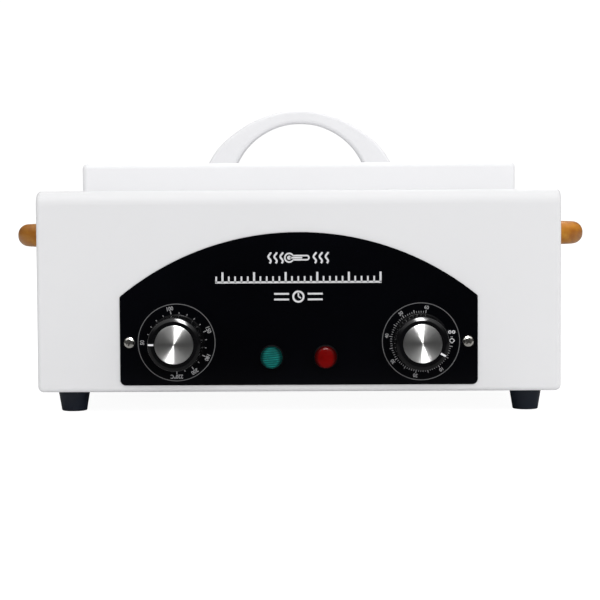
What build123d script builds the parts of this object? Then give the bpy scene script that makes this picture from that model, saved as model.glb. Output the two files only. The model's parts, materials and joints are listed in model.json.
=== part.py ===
from build123d import *
import math
import os

os.makedirs("parts", exist_ok=True)

# Bench-top dry-heat sterilizer. Millimetres, +Z up, front faces -Y, table at Z = 0.
# Modelled with the cabinet centred on X = Y = 0; on export everything is moved in Y
# so that the origin lies under the middle of the overall footprint (cabinet, knobs
# and the tied hank of mains cord behind it).

# ---- driving dimensions ---------------------------------------------------
BODY_WIDTH = 316.0
BODY_DEPTH = 200.0
BODY_HEIGHT = 121.5         # without feet
FOOT_HEIGHT = 13.0          # gap under the case
SHEET = 1.0                 # case sheet thickness
BEND_TOP = 8.5              # long top bends, front and back
BEND_SIDE = 2.5             # upright edges
BEND_LOW = 3.5              # lower side bends
BEND_FRONT_LOW = 1.2        # lower edge, front and back
BASE_FLANGE = 9.0           # inward return round the bottom opening

PANEL_WIDTH = 215.5         # control plate
PANEL_T = 0.8
PANEL_LOW = 4.2             # heights above the case's lower edge: plate's lower edge,
PANEL_SIDE_TOP = 57.8       # end of the straight sides,
PANEL_TOP = 96.3            # crown of the arch
PANEL_SCREW_X = 102.0

KNOB_X = 73.6               # knob axes
KNOB_Z = 43.15
KNOB_BASE_R = 17.0
KNOB_FRONT_R = 15.9
KNOB_REACH = 20.5           # knob's front ring in front of the case
CAP_R = 11.5
CAP_PROUD = 0.3
SHAFT_R = 3.0
BUSH_R = 5.0

LAMP_X = 16.3
LAMP_Z = 34.1
LENS_R = 6.6
LAMP_BEZEL_R = 7.3
LAMP_REACH = 8.6            # lens crown in front of the plate

LID_WIDTH = 266.0
LID_DEPTH = 148.6
LID_RISE = 17.0             # lid top above the case top
LID_EDGE = 3.2
LID_HANDLE_DEPTH = 24.0     # front to back
LID_HANDLE_SCREW_X = 50.5

SIDE_HANDLE_Z = 107.0       # handle centre
SIDE_HANDLE_REACH = 25.9
SIDE_HANDLE_T = 14.3
SIDE_HANDLE_LENGTH = 96.0
SIDE_HANDLE_SCREW_Y = 37

TANK_X = 115.0              # tank inside half sizes
TANK_Y = 56.0
TANK_T = 0.8
TANK_FLOOR = 74.8           # inside floor height
TANK_CORNER = 8
TANK_FLOOR_BEND = 3.7

CORD_R = 3.2
CORD_X = -108.0             # where the cord passes through the back
CORD_Z = 36.0

# ---- derived levels -------------------------------------------------------
CASE_Z0 = FOOT_HEIGHT
CASE_TOP = FOOT_HEIGHT + BODY_HEIGHT
SIDE_X = BODY_WIDTH / 2
BACK_Y = BODY_DEPTH / 2
FRONT_Y = -BACK_Y                       # case front face
INNER_Y = FRONT_Y + SHEET               # inner face of the case front
PANEL_Y = FRONT_Y - PANEL_T             # control plate's front face
KNOB_FRONT_Y = FRONT_Y - KNOB_REACH     # knob's front ring
PLATE_Z0 = CASE_Z0 + SHEET              # bottom plate
PLATE_TOP = PLATE_Z0 + 1.2
LID_Z0 = CASE_TOP + 0.05
LID_TOP = CASE_TOP + LID_RISE

# ---- hole patterns, (x, y) ------------------------------------------------
SIDES = (-1, 1)


def corners(x, y):
    return [(sx * x, sy * y) for sx in SIDES for sy in SIDES]


RIVETS = corners(121.5, 46) + corners(60, 63)
BASE_SCREWS = corners(151.3, 55) + [(sx * 70, 93.3) for sx in SIDES]
FEET = [(sx * 138.8, sy * 78.0) for sy in SIDES for sx in SIDES]
SHIELD_SCREWS = corners(123, 40)
STUDS = corners(70, 30)
EARTH_X, EARTH_Y = 36.0, 84.0

parts = {}


# ---- helpers --------------------------------------------------------------
def box(x0, x1, y0, y1, z0, z1):
    # the two ends of each span may come in either order
    centre = Pos((x0 + x1) / 2, (y0 + y1) / 2, (z0 + z1) / 2)
    return centre * Box(abs(x1 - x0), abs(y1 - y0), abs(z1 - z0))


def cyl_x(radius, x0, x1, y, z):
    return Pos((x0 + x1) / 2, y, z) * (Rot(0, 90, 0) * Cylinder(radius, abs(x1 - x0)))


def cyl_y(radius, y0, y1, x, z):
    return Pos(x, (y0 + y1) / 2, z) * (Rot(90, 0, 0) * Cylinder(radius, abs(y1 - y0)))


def cyl_z(radius, z0, z1, x, y):
    return Pos(x, y, (z0 + z1) / 2) * Cylinder(radius, abs(z1 - z0))


def polygon(points):
    return make_face(Polyline(*points, close=True))


def turned_x(points, x=0, y=0, z=0):
    # turned shape round an axis parallel to X; points are (x offset, radius)
    return Pos(x, y, z) * revolve(polygon(points), Axis.X)


def turned_y(points, x=0, y=0, z=0):
    # turned shape round an axis parallel to Y; points are (radius, y offset)
    return Pos(x, y, z) * revolve(polygon(points), Axis.Y)


def turned_z(points, x=0, y=0, z=0):
    # turned shape round a vertical axis; points are (radius, z offset)
    return Pos(x, y, z) * revolve(Plane.XZ * polygon(points), Axis.Z)


def round_slab(width, depth, z0, z1, corner):
    # vertical-sided block with rounded plan corners
    return extrude(Pos(0, 0, z0) * RectangleRounded(width, depth, corner), z1 - z0)


def pan(width, depth, z0, z1, corner, low_edge):
    # block with rounded plan corners and a rounded lower edge
    body = round_slab(width, depth, z0, z1, corner)
    return fillet(body.edges().group_by(Axis.Z)[0], low_edge)


def round_rod(path, radius):
    start = Plane(origin=path @ 0, z_dir=path % 0)
    return sweep(start * Circle(radius), path=path)


def curved_wire(points, radius):
    return round_rod(Spline(*[Vector(*p) for p in points]), radius)


def bent_rod(points, radius, bend):
    # straight runs joined by bends of one radius
    return round_rod(FilletPolyline(*points, radius=bend), radius)


def bow_face(outer, inner):
    # face between two curves whose ends are joined by straight lines
    return make_face(Spline(*outer) + Line(outer[-1], inner[-1])
                     + Spline(*reversed(inner)) + Line(inner[0], outer[0]))


def hex_nut(across_flats, z0, z1, bore_r, x, y):
    nut = RegularPolygon(across_flats / 2, 6, major_radius=False)
    nut = extrude(Pos(0, 0, z0) * nut, z1 - z0)
    nut -= cyl_z(bore_r, z0 - 1, z1 + 1, 0, 0)
    return Pos(x, y, 0) * nut


def upright_screw(radius, head_r, head_h, seat_z, length, x, y, up=True):
    # cross-head screw whose head seats at seat_z; the shank runs upwards (up) or downwards
    way = 1 if up else -1
    head_z = seat_z - way * head_h
    screw = turned_z([
        (0, seat_z + way * length), (radius * 0.8, seat_z + way * length),
        (radius, seat_z + way * (length - 0.8)), (radius, seat_z), (head_r, seat_z),
        (head_r, seat_z - way * head_h * 0.45), (head_r * 0.78, seat_z - way * head_h * 0.85),
        (head_r * 0.45, head_z), (0, head_z)])
    recess = Pos(0, 0, head_z) * (Box(head_r * 1.1, head_r * 0.24, head_h * 0.9)
                                  + Box(head_r * 0.24, head_r * 1.1, head_h * 0.9))
    return Pos(x, y, 0) * (screw - recess)


def drill_front(body, screw_hole_r):
    # holes for knob bushes, lamps and plate screws
    for side in SIDES:
        for radius, x, z in ((BUSH_R + 0.2, KNOB_X, KNOB_Z), (6.1, LAMP_X, LAMP_Z),
                             (screw_hole_r, PANEL_SCREW_X, KNOB_Z)):
            body -= cyl_y(radius, FRONT_Y - 3, FRONT_Y + 3, side * x, z)
    return body


# ---- case -----------------------------------------------------------------
def case_block(inset):
    # the case's outer form, or its hollow when inset by the sheet thickness
    half_x, half_y = SIDE_X - inset, BACK_Y - inset
    body = box(-half_x, half_x, -half_y, half_y, CASE_Z0 + inset, CASE_TOP - inset)
    body = fillet(body.edges().filter_by(Axis.X).group_by(Axis.Z)[-1], BEND_TOP - inset)
    body = fillet(body.edges().filter_by(Axis.Y).group_by(Axis.Z)[0], BEND_LOW - inset)
    return fillet(body.edges().filter_by(Axis.Z), BEND_SIDE - inset)


def low_edge_cutter():
    # what is trimmed off to round the front lower edge; drawn as (y, z)
    bend = BEND_FRONT_LOW
    arc_in = bend * (1 - math.sqrt(0.5))
    y, z = FRONT_Y, CASE_Z0
    face = make_face(
        Polyline((y, z + bend), (y - 0.6, z + bend), (y - 0.6, z - 0.6),
                 (y + bend, z - 0.6), (y + bend, z))
        + ThreePointArc((y + bend, z), (y + arc_in, z + arc_in), (y, z + bend)))
    return extrude(Plane.YZ * face, SIDE_X + 2, both=True)


def outer_shell():
    shell = case_block(0) - case_block(SHEET)
    open_x, open_y = SIDE_X - BASE_FLANGE, BACK_Y - BASE_FLANGE
    shell -= box(-open_x, open_x, -open_y, open_y, CASE_Z0 - 1, CASE_Z0 + 2)
    shell -= round_slab(236, 119, CASE_TOP - 3, CASE_TOP + 1, 9)    # tank opening
    shell = drill_front(shell, 1.5)
    for sx in SIDES:
        for sy in SIDES:
            shell -= cyl_x(2.2, sx * (SIDE_X + 1), sx * (SIDE_X - 3),
                           sy * SIDE_HANDLE_SCREW_Y, SIDE_HANDLE_Z)
    for x, y in RIVETS:
        shell -= cyl_z(1.7, CASE_TOP - 3, CASE_TOP + 1, x, y)
    for x, y in BASE_SCREWS:
        shell -= cyl_z(1.7, CASE_Z0 - 1, CASE_Z0 + 2, x, y)
    shell -= cyl_y(6.2, BACK_Y - 3, BACK_Y + 1, CORD_X, CORD_Z)
    # rear vents: two groups of nine upright slots
    slot = Plane.XZ.offset(-BACK_Y - 2) * SlotOverall(24, 3.2, rotation=90)
    slot = extrude(slot, 6, both=True)
    for side in SIDES:
        for i in range(9):
            shell -= Pos(side * (46 + i * 9), 0, 103) * slot
    cutter = low_edge_cutter()
    shell -= cutter
    shell -= mirror(cutter, Plane.XZ)
    return shell


def bottom_plate():
    plate = round_slab(308, 192, PLATE_Z0, PLATE_TOP, 4)
    for x, y in FEET:
        plate -= cyl_z(2.1, CASE_Z0, PLATE_TOP + 1, x, y)
    for x, y in BASE_SCREWS + SHIELD_SCREWS + [(EARTH_X, EARTH_Y)]:
        plate -= cyl_z(1.5, CASE_Z0, PLATE_TOP + 1, x, y)
    # three rows of twelve vent slots
    slot = SlotOverall(24, 3.5, rotation=90)
    plate -= [extrude(Pos(-82.5 + 15 * i, -36 + 36 * j, CASE_Z0) * slot, 5)
              for j in range(3) for i in range(12)]
    return plate


parts["outer_shell"] = outer_shell()
parts["bottom_plate"] = bottom_plate()
parts["base_screws"] = [upright_screw(1.48, 2.8, 1.9, CASE_Z0, 6.5, x, y)
                        for x, y in BASE_SCREWS]

# ---- feet -----------------------------------------------------------------
FOOT_SEAT_Z = 5.6           # screw head seat inside the foot
FOOT_TOP = PLATE_Z0
FOOT_PROFILE = [            # (radius, z)
    (2.2, FOOT_SEAT_Z), (4.3, FOOT_SEAT_Z), (4.3, 0), (7.4, 0), (7.75, 0.4),
    (9.9, FOOT_TOP - 0.6), (9.5, FOOT_TOP), (2.2, FOOT_TOP)]

parts["rubber_feet"] = [turned_z(FOOT_PROFILE, x, y) for x, y in FEET]
parts["foot_screws"] = [upright_screw(1.95, 3.9, 2.6, FOOT_SEAT_Z, 13.5, x, y)
                        for x, y in FEET]
parts["foot_nuts"] = [hex_nut(7.0, PLATE_TOP, PLATE_TOP + 3.0, 1.97, x, y) for x, y in FEET]


# ---- control plate --------------------------------------------------------
def control_panel():
    half = PANEL_WIDTH / 2
    low, side_top, crown = (CASE_Z0 + h for h in (PANEL_LOW, PANEL_SIDE_TOP, PANEL_TOP))
    outline = make_face(
        Polyline((-half, side_top), (-half, low), (half, low), (half, side_top))
        + ThreePointArc((half, side_top), (0, crown), (-half, side_top)))
    outline = fillet(outline.vertices().sort_by(Axis.Y)[0:2], 3.4)
    shoulders = [v for v in outline.vertices() if abs(v.Y - side_top) < 0.01]
    outline = fillet(shoulders, 1.5)
    panel = extrude(Plane.XZ.offset(-FRONT_Y) * outline, PANEL_T)
    return drill_front(panel, 1.7)


def panel_screw(x, turn):
    # turn is the angle at which the cross recess came to rest
    screw = turned_y([
        (0, FRONT_Y + 7.5), (0.7, FRONT_Y + 7.0), (1.46, FRONT_Y + 5.5), (1.46, PANEL_Y),
        (3.5, PANEL_Y), (3.5, PANEL_Y - 0.7), (3.1, PANEL_Y - 1.5), (2.2, PANEL_Y - 2.05),
        (1.1, PANEL_Y - 2.25), (0, PANEL_Y - 2.3)])
    recess = Pos(0, PANEL_Y - 2.3, 0) * (Box(3.9, 2.2, 0.85) + Box(0.85, 2.2, 3.9))
    screw -= Rot(0, turn, 0) * recess
    return Pos(x, 0, KNOB_Z) * screw


parts["control_panel"] = control_panel()
parts["panel_screws"] = [panel_screw(-PANEL_SCREW_X, 12), panel_screw(PANEL_SCREW_X, 38)]

# ---- knobs, thermostat and timer ------------------------------------------
THERMOSTAT_X, TIMER_X = -KNOB_X, KNOB_X
BUSH_END_Y = FRONT_Y - 5.0
FLAT_START_Y = FRONT_Y - 5.5        # the shaft is D-shaped in front of this
HUB_BACK_Y = FRONT_Y - 7.0
TAB_HALF = 3.1                      # half width of the flat terminal tabs
TAB_T = 0.8
FLUTES = 40


def d_rod(radius, flat_z, y0, y1):
    # rod along Y with a flat on top; y0 > y1
    rod = cyl_y(radius, y0, y1, 0, 0)
    return rod - box(-2 * radius, 2 * radius, y1 - 1, y0 + 1, flat_z, 2 * radius)


def make_knob():
    back = PANEL_Y - 0.8
    front = KNOB_FRONT_Y
    web = front + 3.4
    profile = polygon([
        (13.6, back), (KNOB_BASE_R, back), (KNOB_BASE_R, back - 1.6),
        (KNOB_BASE_R - 0.45, back - 2.2), (KNOB_FRONT_R, front), (CAP_R + 0.1, front),
        (CAP_R + 0.1, front + 0.9), (0, front + 0.9), (0, HUB_BACK_Y), (5.5, HUB_BACK_Y),
        (5.5, web), (13.0, web)])
    rim = [v for v in profile.vertices()
           if abs(v.X - KNOB_FRONT_R) < 0.01 and abs(v.Y - front) < 0.01]
    body = revolve(fillet(rim, 1.6), Axis.Y)
    angles = [2 * math.pi * (i + 0.5) / FLUTES for i in range(FLUTES)]
    body -= [cyl_y(0.75, back - 2.6, front - 1, 16.62 * math.cos(a), 16.62 * math.sin(a))
             for a in angles]
    return body - d_rod(SHAFT_R, 1.5, FRONT_Y, front + 2.6)


def knob_cap(x):
    return turned_y([(0, 0.9), (CAP_R - 0.05, 0.9), (CAP_R, 0.8), (CAP_R, -0.05),
                     (CAP_R - 0.3, -CAP_PROUD), (0, -CAP_PROUD)], x, KNOB_FRONT_Y, KNOB_Z)


def shaft(x, inner_end):
    rod = cyl_y(SHAFT_R, inner_end, FLAT_START_Y, 0, 0)
    rod += d_rod(SHAFT_R, 1.48, FLAT_START_Y, KNOB_FRONT_Y + 2.7)
    return Pos(x, 0, KNOB_Z) * rod


def square_case(x, half, depth, edge):
    body = box(x - half, x + half, INNER_Y, INNER_Y + depth, KNOB_Z - half, KNOB_Z + half)
    return fillet(body.edges().filter_by(Axis.Y), edge)


def with_tabs_and_bush(body, x, tab_root, tab_y, bore_end):
    # side tabs, and a bush through the front with a running bore for the shaft
    for side in SIDES:
        body += box(x + side * tab_root, x + side * (tab_root + 9), tab_y, tab_y + TAB_T,
                    KNOB_Z - TAB_HALF, KNOB_Z + TAB_HALF)
    body += cyl_y(BUSH_R, INNER_Y + 1, BUSH_END_Y, x, KNOB_Z)
    return body - cyl_y(SHAFT_R + 0.06, BUSH_END_Y - 1, bore_end, x, KNOB_Z)


def thermostat_body():
    body = square_case(THERMOSTAT_X, 18, 16, 3)
    body += cyl_y(15, INNER_Y + 15, INNER_Y + 24, THERMOSTAT_X, KNOB_Z)
    return with_tabs_and_bush(body, THERMOSTAT_X, 17, INNER_Y + 10, INNER_Y + 8)


def timer_body():
    body = square_case(TIMER_X, 21, 27, 2.5)
    body += cyl_y(2.0, INNER_Y + 26, INNER_Y + 33.2, TIMER_X, KNOB_Z)   # bell post
    return with_tabs_and_bush(body, TIMER_X, 20, INNER_Y + 12, INNER_Y + 12)


def bush_nut(x):
    nut = extrude(RegularPolygon(6.5, 6, major_radius=False), 2.4)
    nut -= Cylinder(BUSH_R + 0.02, 10)
    return Pos(x, PANEL_Y, KNOB_Z) * (Rot(90, 0, 0) * nut)


knob = make_knob()
parts["thermostat_body"] = thermostat_body()
parts["thermostat_shaft"] = shaft(THERMOSTAT_X, INNER_Y + 7.8)
parts["timer_body"] = timer_body()
parts["timer_shaft"] = shaft(TIMER_X, INNER_Y + 11.8)
for control, knob_name, x in (("thermostat", "temperature_knob", THERMOSTAT_X),
                              ("timer", "timer_knob", TIMER_X)):
    parts[knob_name] = Pos(x, 0, KNOB_Z) * knob
    parts[knob_name + "_cap"] = knob_cap(x)
    parts[control + "_nut"] = bush_nut(x)
# chime on the back of the timer
parts["timer_bell"] = turned_y(
    [(2.03, 31.6), (2.03, 32.6), (9.0, 32.3), (14.0, 30.6), (16.5, 27.6), (15.6, 27.6),
     (13.4, 29.7), (8.8, 31.3)], TIMER_X, INNER_Y, KNOB_Z)

# ---- pilot lamps: profiles are (radius, y from the plate's front face) ----
CROWN = -LAMP_REACH
LENS_PROFILE = [
    (0, CROWN), (1.6, CROWN + 0.1), (3.2, CROWN + 0.45), (4.8, CROWN + 1.15),
    (5.9, CROWN + 2.2), (LENS_R - 0.05, CROWN + 3.6), (LENS_R, CROWN + 4.6),
    (LENS_R, -1.3), (5.2, -1.3), (5.2, 4), (4.2, 4), (4.2, CROWN + 4.5),
    (3.2, CROWN + 2.2), (0, CROWN + 1.6)]
LAMP_BODY_PROFILE = [
    (5.22, -1.25), (LAMP_BEZEL_R - 0.7, -1.25), (LAMP_BEZEL_R, -0.6), (LAMP_BEZEL_R, 0),
    (6.0, 0), (6.0, 16), (4.5, 21), (2.6, 21), (2.6, 18), (4.4, 14), (4.4, 4.2), (5.22, 4.2)]
NEON_PROFILE = [(0, -2.2), (1.4, -1.8), (2.3, -0.2), (2.4, 12.5), (1.2, 13.6), (0.5, 13.6),
                (0.5, 24), (0, 24)]
# (radius, y from the inner face of the case front)
LAMP_CLIP_PROFILE = [(6.02, 0), (8.6, 0), (8.6, 0.5), (7.2, 1.6), (6.02, 1.2)]

for colour, x in (("green", -LAMP_X), ("red", LAMP_X)):
    parts[colour + "_lamp_lens"] = turned_y(LENS_PROFILE, x, PANEL_Y, LAMP_Z)
    parts[colour + "_lamp_body"] = turned_y(LAMP_BODY_PROFILE, x, PANEL_Y, LAMP_Z)
parts["neon_bulbs"] = [turned_y(NEON_PROFILE, side * LAMP_X, PANEL_Y, LAMP_Z)
                       for side in SIDES]
parts["lamp_clips"] = [turned_y(LAMP_CLIP_PROFILE, side * LAMP_X, INNER_Y, LAMP_Z)
                       for side in SIDES]

# ---- lid ------------------------------------------------------------------
LINER_Z = 137.6             # underside of the liner's flat rim
LINER_T = 0.6


def lid_block(inset, z0, corner, edge):
    body = round_slab(LID_WIDTH - 2 * inset, LID_DEPTH - 2 * inset, z0, LID_TOP - inset, corner)
    return fillet(body.edges().group_by(Axis.Z)[-1], edge)


def lid_shell():
    lid = lid_block(0, LID_Z0, 3.2, LID_EDGE) - lid_block(1, LID_Z0 - 1, 2.2, LID_EDGE - 1)
    for side in SIDES:
        lid -= cyl_z(2.2, LID_TOP - 3, LID_TOP + 1, side * LID_HANDLE_SCREW_X, 0)
    return lid


def lid_liner():
    # upturned rim round a dished middle
    rim_top = LINER_Z + LINER_T
    liner = round_slab(LID_WIDTH - 2.1, LID_DEPTH - 2.1, LINER_Z, LINER_Z + 8.5, 2.1)
    liner -= round_slab(LID_WIDTH - 3.3, LID_DEPTH - 3.3, rim_top, LINER_Z + 10, 1.5)
    liner += pan(225, 107, 131.0, rim_top, 7, 2.5)
    return liner - pan(223.8, 105.8, 131.0 + LINER_T, LINER_Z + 2, 6.4, 1.9)


# right half of the lid handle's arch, foot to crown: (x, height above the lid)
LID_ARCH_OUTER = [(59.9, 0), (58.1, 3.3), (54.6, 8.9), (48.6, 15.6), (40.6, 21.9),
                  (33.0, 26.9), (21.2, 31.9), (11.0, 34.6), (0, 35.5)]
LID_ARCH_INNER = [(41.7, 0), (40.6, 2.2), (37.4, 7.8), (34.2, 12.0), (29.8, 16.4),
                  (23.6, 20.9), (15.4, 24.9), (8.0, 26.9), (0, 27.5)]


def lid_handle():
    outer, inner = ([(-x, z) for x, z in half] + half[-2::-1]
                    for half in (LID_ARCH_OUTER, LID_ARCH_INNER))
    arch = extrude(Plane.XZ * bow_face(outer, inner), LID_HANDLE_DEPTH / 2, both=True)
    arch = Pos(0, 0, LID_TOP) * arch
    arch = fillet([e for e in arch.edges() if e.length > 60], 2.2)
    for side in SIDES:
        arch -= cyl_z(1.95, LID_TOP - 1, LID_TOP + 9, side * LID_HANDLE_SCREW_X, 0)
    return arch


parts["lid_shell"] = lid_shell()
parts["lid_liner"] = lid_liner()
parts["lid_insulation"] = (round_slab(LID_WIDTH - 6, LID_DEPTH - 6, LINER_Z + 0.7, 147.8, 2)
                           + round_slab(221, 103, 133.0, LINER_Z + 1, 6))
parts["lid_handle"] = lid_handle()
parts["lid_handle_screws"] = [
    upright_screw(1.93, 4.0, 2.4, LID_TOP - 1.0, 9.0, side * LID_HANDLE_SCREW_X, 0)
    for side in SIDES]

# ---- side handles ---------------------------------------------------------
# half plan outlines, foot to middle: (distance out from the case, y)
HALF_LENGTH = SIDE_HANDLE_LENGTH / 2
SIDE_BOW_OUTER = [(0, HALF_LENGTH), (5, HALF_LENGTH - 0.6), (11.6, HALF_LENGTH - 4.5),
                  (19.2, HALF_LENGTH - 14), (24.1, HALF_LENGTH - 27), (SIDE_HANDLE_REACH, 0)]
SIDE_BOW_INNER = [(0, HALF_LENGTH - 21.5), (5.5, HALF_LENGTH - 23.2), (9.6, HALF_LENGTH - 28),
                  (11.6, HALF_LENGTH - 37), (12.0, 0)]


def on_side(body, side, y=0):
    # put a piece made for the right side on either side of the case
    if side < 0:
        body = mirror(body, Plane.YZ)
    return Pos(side * SIDE_X, y, SIDE_HANDLE_Z) * body


def side_handle(side):
    outer, inner = (half + [(x, -y) for x, y in half[-2::-1]]
                    for half in (SIDE_BOW_OUTER, SIDE_BOW_INNER))
    body = extrude(bow_face(outer, inner), SIDE_HANDLE_T / 2, both=True)
    long_edges = [e for e in body.edges() if e.length > 40 and abs(e.center().Z) > 1]
    body = fillet(long_edges, 6.7)
    for sy in SIDES:
        body -= cyl_x(1.95, -1, 11, sy * SIDE_HANDLE_SCREW_Y, 0)
    return on_side(body, side)


def side_screw(side, y):
    # driven from inside the case
    screw = turned_x([(10.0, 0), (9.6, 1.4), (8.8, 1.93), (-1.0, 1.93), (-1.0, 3.9),
                      (-2.2, 3.9), (-3.2, 2.8), (-3.4, 0)])
    screw -= Pos(-3.4, 0, 0) * (Box(2.4, 4.2, 0.9) + Box(2.4, 0.9, 4.2))
    return on_side(screw, side, y)


parts["left_side_handle"] = side_handle(-1)
parts["right_side_handle"] = side_handle(1)
parts["side_handle_screws"] = [side_screw(side, sy * SIDE_HANDLE_SCREW_Y)
                               for side in SIDES for sy in SIDES]

# ---- heated tank ----------------------------------------------------------
TANK_UNDER = TANK_FLOOR - TANK_T
HEATER_Z0 = 71.0
CLAMP_Z0 = HEATER_Z0 - 1.0
SHIELD_TOP = 60.0
HEATER_TAB_Y = 10


def inner_tank():
    tank = pan(2 * (TANK_X + TANK_T), 2 * (TANK_Y + TANK_T), TANK_UNDER, CASE_TOP + TANK_T,
               TANK_CORNER + TANK_T, TANK_FLOOR_BEND + TANK_T)
    tank += round_slab(252, 133, CASE_TOP, CASE_TOP + TANK_T, 12)
    tank -= pan(2 * TANK_X, 2 * TANK_Y, TANK_FLOOR, CASE_TOP + 5, TANK_CORNER, TANK_FLOOR_BEND)
    for x, y in STUDS:
        tank += cyl_z(2.0, 63.0, TANK_UNDER + 0.4, x, y)
    for x, y in RIVETS:
        tank -= cyl_z(1.7, CASE_TOP - 0.5, CASE_TOP + 2, x, y)
    return tank


RIVET_PROFILE = [           # (radius, z from the case top)
    (0, 1.9), (1.4, 1.75), (2.6, 1.3), (3.0, 0.8), (1.65, 0.8), (1.65, -1.0), (2.4, -1.0),
    (2.2, -2.1), (0, -2.1)]


def heating_element():
    heater = round_slab(180, 84, HEATER_Z0, TANK_UNDER, 4)
    for y in (-HEATER_TAB_Y, HEATER_TAB_Y):
        heater += box(88, 98, y - TAB_HALF, y + TAB_HALF, HEATER_Z0 + 1, HEATER_Z0 + 1 + TAB_T)
    for x, y in STUDS:
        heater -= cyl_z(2.3, 70, 75, x, y)
    return heater


def heater_clamp_plate():
    clamp = round_slab(184, 88, CLAMP_Z0, HEATER_Z0, 4)
    clamp -= box(84, 100, -16, 16, CLAMP_Z0 - 1, HEATER_Z0 + 1)     # clears the heater tabs
    for x, y in STUDS:
        clamp -= cyl_z(2.2, CLAMP_Z0 - 1, HEATER_Z0 + 1, x, y)
    return clamp


def insulation_wrap():
    # glass-fibre blanket round the tank, with a window for the sensing bulb
    wrap = round_slab(244, 124, SHIELD_TOP, 131.5, 13)
    wrap -= round_slab(232.6, 114.6, SHIELD_TOP - 1, 133, 9)
    return wrap - box(-82, 20, -70, -50, 76.5, 94.5)


def insulation_base_pad():
    pad = round_slab(224, 110, SHIELD_TOP, 66.6, 6)
    for x, y in STUDS:
        pad -= cyl_z(2.6, SHIELD_TOP - 1, 68, x, y)
    pad -= box(-14, 14, -4, 4, 64.5, 68)        # recess under the thermal fuse
    for y in (-HEATER_TAB_Y, HEATER_TAB_Y):
        pad -= cyl_z(4, SHIELD_TOP - 1, 68, 104, y)
    return pad


def heat_shield():
    # tray on two side walls with outturned feet
    shield = round_slab(236, 114, SHIELD_TOP - 1, SHIELD_TOP, 6)
    for side in SIDES:
        shield += box(side * 117, side * 118, -50, 50, PLATE_TOP, SHIELD_TOP)
        shield += box(side * 117, side * 129, -50, 50, PLATE_TOP, PLATE_TOP + 1.0)
    for x, y in SHIELD_SCREWS:
        shield -= cyl_z(1.6, PLATE_TOP - 1, PLATE_TOP + 3, x, y)
    for y in (-HEATER_TAB_Y, HEATER_TAB_Y):
        shield -= cyl_z(4, SHIELD_TOP - 2, SHIELD_TOP + 1, 104, y)
    return shield


parts["inner_tank"] = inner_tank()
parts["tank_rivets"] = [turned_z(RIVET_PROFILE, x, y, CASE_TOP) for x, y in RIVETS]
parts["heating_element"] = heating_element()
parts["heater_clamp_plate"] = heater_clamp_plate()
parts["heater_clamp_nuts"] = [hex_nut(7.0, CLAMP_Z0 - 3.2, CLAMP_Z0, 2.02, x, y)
                              for x, y in STUDS]
parts["insulation_wrap"] = insulation_wrap()
parts["insulation_base_pad"] = insulation_base_pad()
parts["heat_shield"] = heat_shield()
parts["heat_shield_screws"] = [
    upright_screw(1.48, 2.8, 1.9, PLATE_TOP + 1.0, 4.5, x, y, up=False)
    for x, y in SHIELD_SCREWS]
# thermal cut-out held against the clamp plate
FUSE_Z = 68.05
parts["thermal_fuse"] = cyl_x(1.9, -5.5, 5.5, 0, FUSE_Z) + cyl_x(0.5, -11, 11, 0, FUSE_Z)

# ---- sensing bulb and its capillary ---------------------------------------
BULB_Y, BULB_Z = -59.4, 86.0


def capillary_bulb():
    bulb = cyl_x(2.4, -58, 10, BULB_Y, BULB_Z)
    bulb = fillet(bulb.edges(), 1.0)
    x = THERMOSTAT_X
    return bulb + curved_wire([
        (x, INNER_Y + 24.1, KNOB_Z), (x, INNER_Y + 25.6, KNOB_Z + 0.2),
        (x, INNER_Y + 29, KNOB_Z + 4), (x - 1, INNER_Y + 31, KNOB_Z + 18),
        (x - 1, INNER_Y + 33.5, 76), (-70, BULB_Y - 1.2, 84), (-64, BULB_Y, BULB_Z),
        (-57, BULB_Y, BULB_Z)], 0.8)


def bulb_clip(x):
    clip = cyl_x(3.3, x - 3, x + 3, BULB_Y, BULB_Z) - cyl_x(2.45, x - 4, x + 4, BULB_Y, BULB_Z)
    clip -= box(x - 4, x + 4, BULB_Y + 1.9, BULB_Y + 6, BULB_Z - 5, BULB_Z + 5)
    for side in SIDES:
        clip += box(x - 3, x + 3, -57.9, -56.85, BULB_Z + side * 2.6, BULB_Z + side * 7)
    return clip


parts["capillary_bulb"] = capillary_bulb()
parts["bulb_clips"] = [bulb_clip(x) for x in (-44, -6)]

# ---- instrument tray ------------------------------------------------------
TRAY_Z = TANK_FLOOR + 0.05
TRAY_H = 30
TRAY_T = 0.8


def instrument_tray():
    tray = pan(220, 102, TRAY_Z, TRAY_Z + TRAY_H, 8, 3)
    tray += round_slab(224, 106, TRAY_Z + TRAY_H - TRAY_T, TRAY_Z + TRAY_H, 10)
    tray -= pan(220 - 2 * TRAY_T, 102 - 2 * TRAY_T, TRAY_Z + TRAY_T, TRAY_Z + 40, 7.2, 2.2)
    tray -= [cyl_z(2.6, TRAY_Z - 1, TRAY_Z + 2, -96 + 12 * i, -36 + 12 * j)
             for i in range(17) for j in range(7)]
    return tray


def tray_handle(side):
    wire_r = 1.5
    x = side * (110 - TRAY_T - wire_r)
    low, high, half = TRAY_Z + 9, TRAY_Z + 50.5, 30.0
    return bent_rod([(x, -half, low), (x, -half, high), (x, half, high), (x, half, low)],
                    wire_r, 9.0)


parts["instrument_tray"] = instrument_tray()
parts["tray_handles"] = [tray_handle(side) for side in SIDES]

# ---- terminal block -------------------------------------------------------
BLOCK_X, BLOCK_Y = -32.0, 70.0
LIVE_X, NEUTRAL_X, EARTH_WAY_X = WAYS = [BLOCK_X - 12, BLOCK_X, BLOCK_X + 12]
WIRE_Z = PLATE_TOP + 7
TERMINALS = [(x, BLOCK_Y + sy * 4.5) for x in WAYS for sy in SIDES]


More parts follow.
